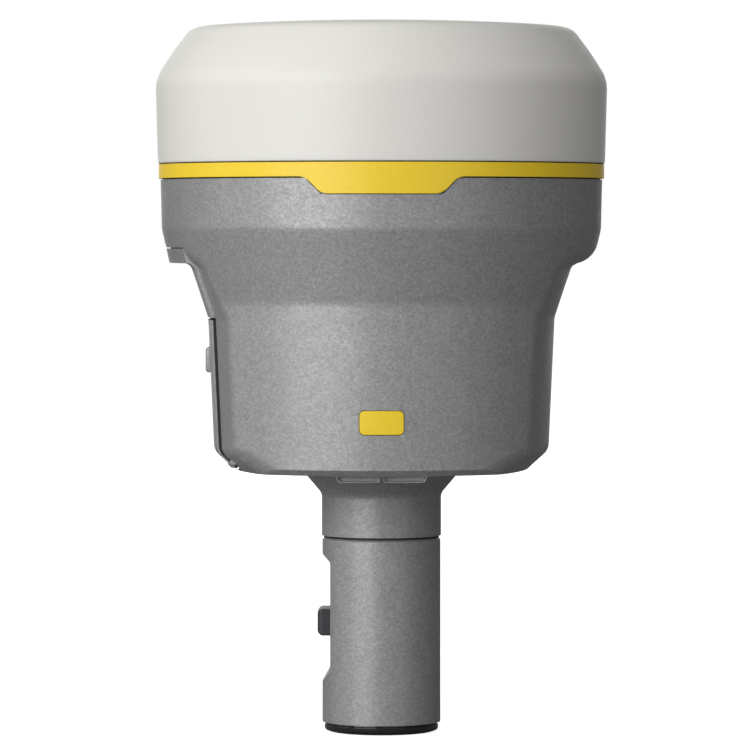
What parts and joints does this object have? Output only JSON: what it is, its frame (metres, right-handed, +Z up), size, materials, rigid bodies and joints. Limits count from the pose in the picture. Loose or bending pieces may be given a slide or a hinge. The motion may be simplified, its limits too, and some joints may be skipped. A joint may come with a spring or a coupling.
{
  "type": "gnss receiver",
  "caption": "Satellite positioning receiver: domed radome on a grey housing with a yellow trim ring, battery door and keypad, on a quick-release pole adapter.",
  "frame": {"origin": "centre of the foot ring's underside, at the bottom of the pole adapter", "axes": "+Z up along the pole towards the radome, -Y towards the front with the badge, -X towards the battery door and release button"},
  "size_m": [0.119, 0.119, 0.1872],
  "materials": {
    "housing_paint": "fine speckled metallic grey paint, satin",
    "radome_plastic": "cream white moulded plastic, satin",
    "yellow_plastic": "warm yellow moulded plastic, satin",
    "black_gloss": "glossy black moulded plastic",
    "black_plastic": "matt black moulded plastic",
    "charcoal_plastic": "charcoal moulded plastic, fine texture",
    "key_rubber": "soft grey rubber",
    "rubber": "black seal rubber",
    "spring_steel": "bright spring wire",
    "machined_steel": "turned stainless steel",
    "tinned_steel": "tinned sheet steel",
    "aluminium": "milled aluminium",
    "brass": "turned brass",
    "battery_case": "dark grey moulded plastic",
    "circuit_board": "green solder mask",
    "patch_ceramic": "plated ceramic",
    "lamp_lens": "clear green lens",
    "label_film": "plain silver film"
  },
  "bodies": {
    "adapter": {"adapter_body": "housing_paint", "pole_thread_insert": "brass", "base_ring": "black_gloss", "lock_clip": "spring_steel"},
    "release_button": {"release_button": "charcoal_plastic", "release_pin": "spring_steel", "button_spring": "spring_steel"},
    "receiver": {"spigot": "machined_steel", "seam_washer": "rubber", "neck": "housing_paint", "neck_gasket": "rubber", "hook_lugs": "housing_paint", "lower_housing": "housing_paint", "side_bezel": "housing_paint", "hinge_pin": "machined_steel", "battery": "battery_case", "battery_bay": "black_plastic", "battery_contacts": "brass", "badge": "yellow_plastic", "housing_seal": "rubber", "trim_ring": "yellow_plastic", "radome_gasket": "rubber", "radome": "radome_plastic", "ground_plane": "aluminium", "antenna_board": "circuit_board", "antenna_spacers": "brass", "lower_patch": "patch_ceramic", "upper_patch": "patch_ceramic", "amplifier_shield": "tinned_steel", "coax_lead": "black_plastic", "coax_connectors": "brass", "chassis_plate": "aluminium", "chassis_posts": "aluminium", "main_board": "circuit_board", "board_standoffs": "brass", "board_screws": "machined_steel", "processor_shield": "tinned_steel", "radio_module": "tinned_steel", "keypad_panel": "charcoal_plastic", "status_lamps": "lamp_lens", "data_port": "black_plastic", "port_pins": "brass", "radio_antenna_socket": "brass", "pressure_vent": "black_plastic", "bottom_screws": "machined_steel", "plain_label": "label_film"},
    "battery_door": {"battery_door": "housing_paint", "door_seal": "rubber"},
    "door_latch": {"latch_knob": "charcoal_plastic", "latch_tongue": "spring_steel", "latch_spring": "spring_steel"},
    "power_button": {"power_button": "key_rubber"},
    "data_port_cap": {"data_port_cap": "rubber"}
  },
  "joints": [
    {"name": "lift_off", "type": "slide", "parent": "adapter", "child": "receiver", "axis": [0, 0, 1], "range_m": [0, 0.035], "deforming": ["lock_clip"]},
    {"name": "release_button_press", "type": "slide", "parent": "adapter", "child": "release_button", "axis": [1, 0, 0], "range_m": [0, 0.002], "stiffness_N_per_m": 1500, "springref_m": -0.001, "deforming": ["button_spring"]},
    {"name": "battery_door_hinge", "type": "hinge", "parent": "receiver", "child": "battery_door", "pos_m": [-0.0383, 0, 0.0723], "axis": [0, -1, 0], "range_deg": [0, 95], "deforming": ["latch_tongue"]},
    {"name": "door_latch_slide", "type": "slide", "parent": "battery_door", "child": "door_latch", "axis": [0, 0, -1], "range_m": [0, 0.004], "stiffness_N_per_m": 400, "springref_m": -0.002, "deforming": ["latch_spring"]},
    {"name": "power_button_press", "type": "slide", "parent": "receiver", "child": "power_button", "axis": [0, -1, 0], "range_m": [0, 0.0006], "stiffness_N_per_m": 1500, "springref_m": -0.0005},
    {"name": "data_port_cap_pull", "type": "slide", "parent": "receiver", "child": "data_port_cap", "axis": [0, 0, -1], "range_m": [0, 0.009]}
  ]
}
